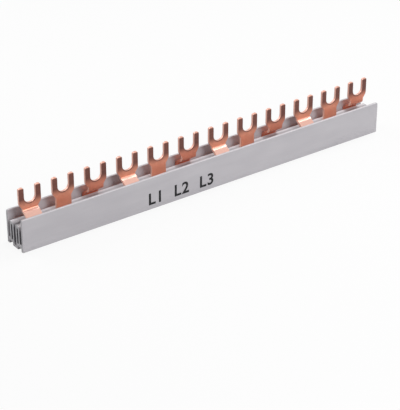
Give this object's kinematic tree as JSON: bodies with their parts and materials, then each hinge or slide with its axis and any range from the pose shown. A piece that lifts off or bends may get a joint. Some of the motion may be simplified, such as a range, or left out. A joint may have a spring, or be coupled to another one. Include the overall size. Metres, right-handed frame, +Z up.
{
  "type": "comb busbar",
  "caption": "Straight grey insulating profile with open ends that holds stamped copper comb bars, whose upright forks stand in one row to link breaker terminals.",
  "frame": {"origin": "bottom centre of the profile, in the middle of its length and width, on its underside", "axes": "+X along the profile, -Y out of the front wall, +Z up towards the fork tips"},
  "size_m": [0.2132, 0.0142, 0.0296],
  "materials": {
    "insulation": "light grey rigid PVC, extruded, with a faint satin sheen",
    "copper": "bare stamped copper, slightly dulled, with brighter sheared edges"
  },
  "bodies": {
    "root": {"insulating_profile": "insulation", "front_busbar": "copper", "middle_busbar": "copper", "back_busbar": "copper"}
  },
  "joints": []
}
